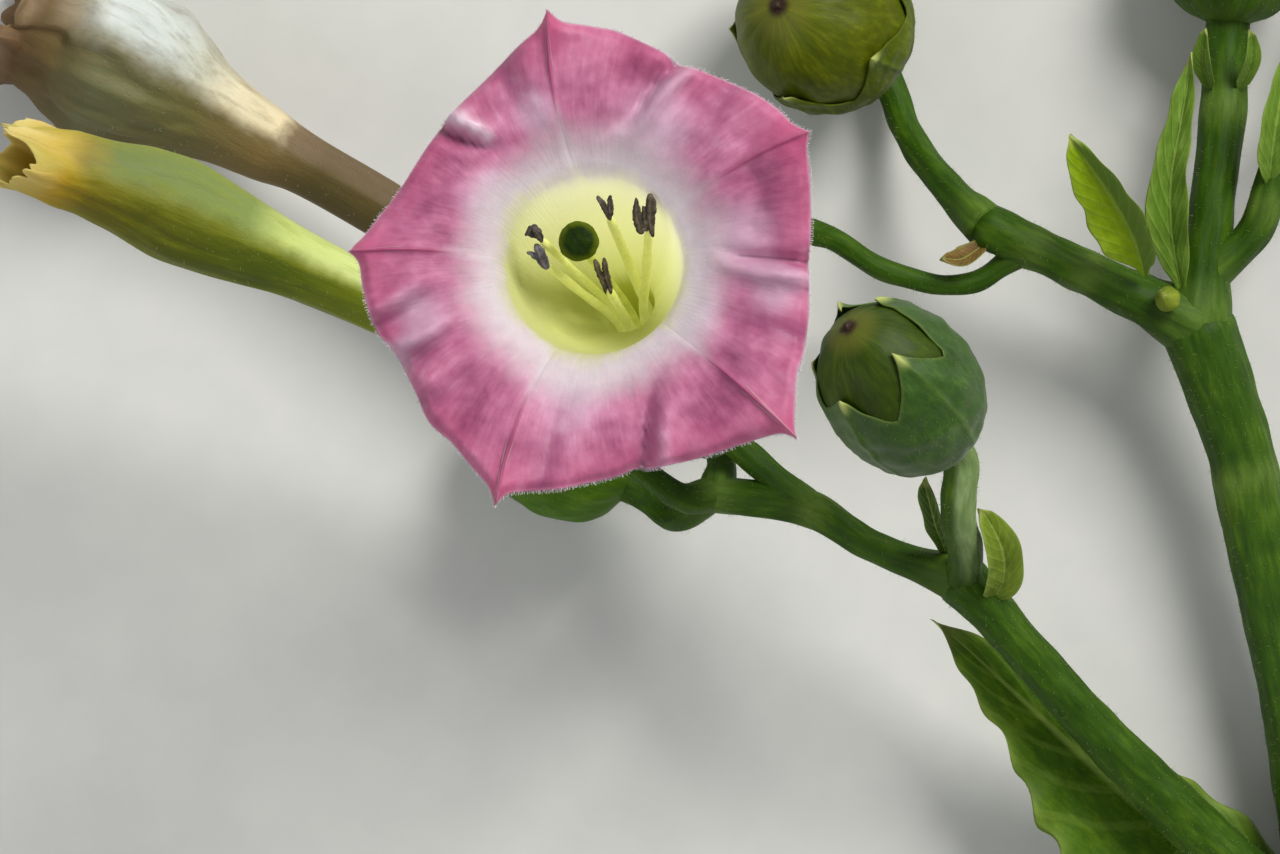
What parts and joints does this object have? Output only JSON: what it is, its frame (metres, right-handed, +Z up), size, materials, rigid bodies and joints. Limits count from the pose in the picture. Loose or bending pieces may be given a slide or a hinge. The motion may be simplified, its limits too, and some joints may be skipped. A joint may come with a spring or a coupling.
{
  "type": "tobacco flowering branch",
  "caption": "Cut flowering branch of a tobacco plant: an open pink trumpet flower, faded flowers and round fruits in toothed calyces on forked green stems, lying down.",
  "frame": {"origin": "middle of the branch's box at its lowest points, on the surface it lies on", "axes": "+Z up out of the surface, towards the open flower's face; +X towards the stem's cut end, +Y towards the far fruits"},
  "size_m": [0.1064, 0.0936, 0.0638],
  "materials": {
    "stem": "fresh green stem, slightly waxy, with fine downy hairs and shallow ridges",
    "calyx": "green downy calyx with paler ribs, bluish sheen and pale tooth tips",
    "capsule": "smooth green seed capsule with a faint seam and a dark style scar",
    "bract": "thin leafy green bract, paler along its edges",
    "petal_pink": "velvety pink limb that pales to white round a pale yellow-green throat",
    "petal_faded_pale": "faded papery cream petal tube, grey-white to tan, with a dry brown limb",
    "petal_faded_green": "faded yellow-green petal tube with a dry golden ragged rim",
    "pistil": "glossy dark green stigma on a pale style",
    "stamen": "pale yellow-green thread with dark grey-brown pollen sacs"
  },
  "bodies": {
    "root": {"stem_main": "stem", "stem_left": "stem", "rachis": "stem", "branch_right": "stem", "stem_upper": "stem", "branch_far": "stem", "pedicel_pink": "stem", "pedicel_faded_upper": "stem", "pedicel_faded_lower": "stem", "pedicel_behind": "stem", "pedicel_near": "stem", "pedicel_top": "stem", "pedicel_hidden": "stem", "capsule_near": "capsule", "capsule_behind": "capsule", "capsule_top": "capsule", "capsule_right": "capsule", "capsule_far": "capsule", "capsule_hidden": "capsule", "calyx_near": "calyx", "calyx_behind": "calyx", "calyx_top": "calyx", "calyx_right": "calyx", "calyx_far": "calyx", "calyx_hidden": "calyx", "calyx_pink": "calyx", "calyx_faded_upper": "calyx", "calyx_faded_lower": "calyx", "bract_stem": "bract", "bract_curled": "bract", "bract_slim": "bract", "bract_bright": "bract", "bract_slender": "bract", "bract_dry": "bract", "bract_upper_left": "bract", "bract_upper_right": "bract", "bract_far": "bract", "bud_small": "bract", "corolla_pink": "petal_pink", "corolla_faded_upper": "petal_faded_pale", "corolla_faded_lower": "petal_faded_green", "pistil": "pistil", "stamen_1": "stamen", "stamen_2": "stamen", "stamen_3": "stamen", "stamen_4": "stamen", "stamen_5": "stamen"}
  },
  "joints": []
}
